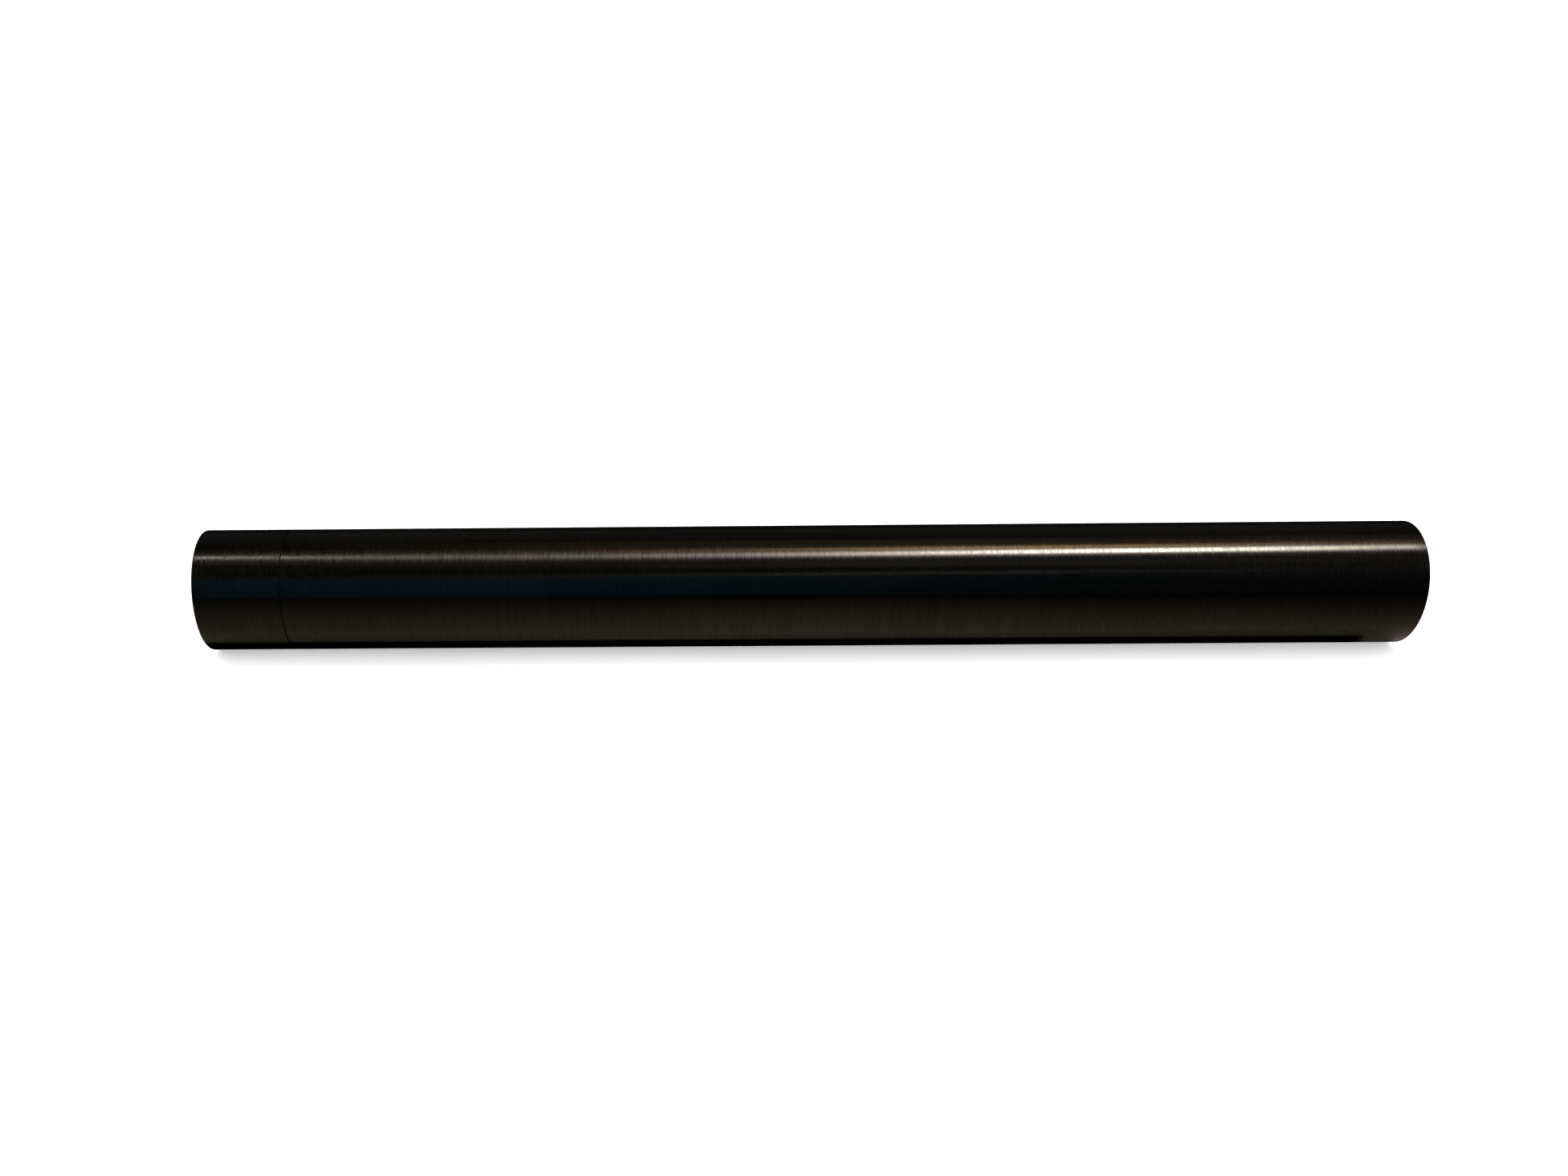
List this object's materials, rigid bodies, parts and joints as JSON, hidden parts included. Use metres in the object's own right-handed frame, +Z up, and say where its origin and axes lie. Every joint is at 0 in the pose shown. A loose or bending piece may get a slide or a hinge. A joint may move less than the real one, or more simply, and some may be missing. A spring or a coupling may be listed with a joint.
{
  "type": "rod case",
  "caption": "Slim round aluminium rod case with a flush screw cap, a sealed threaded neck, a felt lining and foam end pads.",
  "frame": {"origin": "on the surface that the case lies on, midway along it, under its axis", "axes": "+X along the case from the cap to the base, +Z up"},
  "size_m": [0.505, 0.0508, 0.0508],
  "materials": {
    "anodised_tube": "dark bronze-black anodised, satin, with fine brushing around the tube",
    "anodised_disc": "dark bronze-black anodised, satin, with turning marks",
    "machined_collar": "machined, clear anodised",
    "thread_plastic": "black acetal, turned",
    "seal_rubber": "black nitrile",
    "pad_foam": "black closed-cell foam",
    "liner_felt": "charcoal felt"
  },
  "bodies": {
    "case": {"tube_body": "anodised_tube", "threaded_collar": "machined_collar", "collar_o_ring": "seal_rubber", "base_disc": "anodised_disc", "base_pad": "pad_foam", "felt_liner": "liner_felt"},
    "cap_seal": {"cap_gasket": "seal_rubber"},
    "cap": {"cap_sleeve": "anodised_tube", "cap_thread_ring": "thread_plastic", "cap_disc": "anodised_disc", "cap_pad": "pad_foam"}
  },
  "joints": [
    {"name": "cap_lift", "type": "slide", "parent": "case", "child": "cap_seal", "axis": [-1, 0, 0], "range_m": [0, 0.03]},
    {"name": "cap_turn", "type": "hinge", "parent": "cap_seal", "child": "cap", "pos_m": [-0.237, 0, 0.0254], "axis": [-1, 0, 0], "range_deg": [0, 1800]}
  ],
  "couplings": [
    {"joint": "cap_lift", "follows": "cap_turn", "m_per_rad": 0.00095493}
  ]
}
